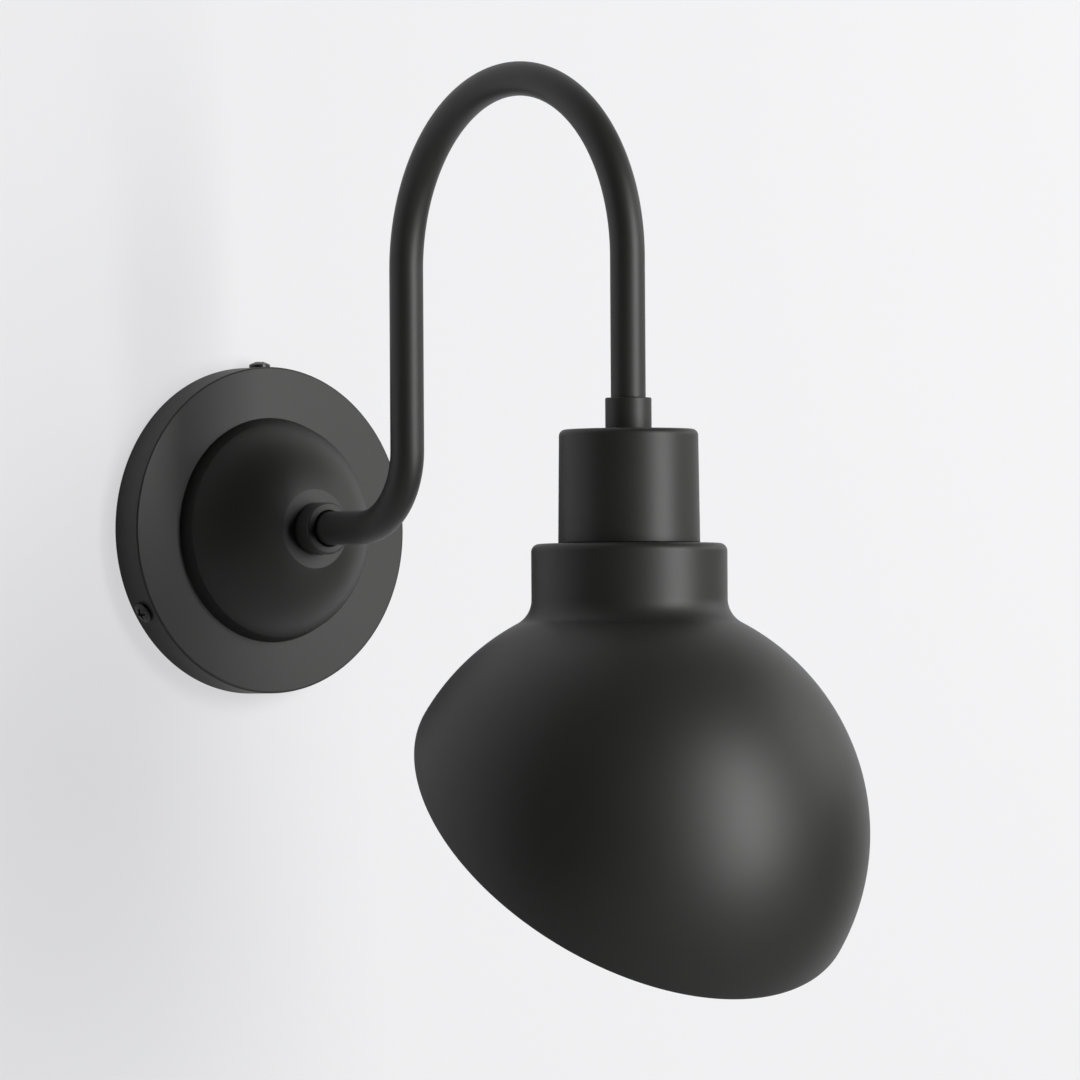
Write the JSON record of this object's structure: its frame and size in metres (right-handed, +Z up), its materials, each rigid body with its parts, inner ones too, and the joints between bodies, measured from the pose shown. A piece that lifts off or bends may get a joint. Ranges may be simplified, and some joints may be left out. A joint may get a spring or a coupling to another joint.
{
  "type": "gooseneck wall sconce",
  "caption": "Wall sconce: round domed canopy, gooseneck arm, socket cup and a ball-shaped shade cut at a tilt, matt black.",
  "frame": {"origin": "centre of the canopy on the wall plane, which is also the centre of the two wall box screw slots", "axes": "+Y into the wall, -Y out of it along the arm, +Z up"},
  "size_m": [0.177, 0.3321, 0.3501],
  "materials": {
    "black_metal": "satin-matt black powder coat",
    "black_screw": "blackened steel, a little glossier than the powder coat",
    "plated_steel": "zinc-plated steel",
    "ground_green": "green-dyed plated screw",
    "black_phenolic": "moulded black phenolic",
    "shell_brass": "bare brass",
    "lead_black": "black wire insulation",
    "lead_white": "white wire insulation"
  },
  "bodies": {
    "fixture": {"mounting_plate": "plated_steel", "ground_screw": "ground_green", "canopy": "black_metal", "lock_washer": "plated_steel", "canopy_nut": "plated_steel", "canopy_nipple": "plated_steel", "collar": "black_metal", "gooseneck_arm": "black_metal", "ferrule": "black_metal", "cup_nipple": "plated_steel", "cup_nut": "plated_steel", "socket_cup": "black_metal", "lampholder_cap": "black_phenolic", "lampholder_body": "black_phenolic", "screw_shell": "shell_brass", "terminal_screw_live": "shell_brass", "terminal_screw_neutral": "plated_steel", "shade_ring": "black_phenolic", "lead_live": "lead_black", "lead_neutral": "lead_white", "rim_screw_1": "black_screw", "rim_screw_2": "black_screw", "rim_screw_3": "black_screw"},
    "shade": {"shade": "black_metal"},
    "contact": {"centre_contact": "shell_brass"}
  },
  "joints": [
    {"name": "shade_turn", "type": "hinge", "parent": "fixture", "child": "shade", "pos_m": [0, -0.2436, -0.009], "axis": [0, 0, 1], "continuous": true},
    {"name": "contact_press", "type": "slide", "parent": "fixture", "child": "contact", "axis": [0, 0, 1], "range_m": [0, 0.0015], "stiffness_N_per_m": 800}
  ]
}
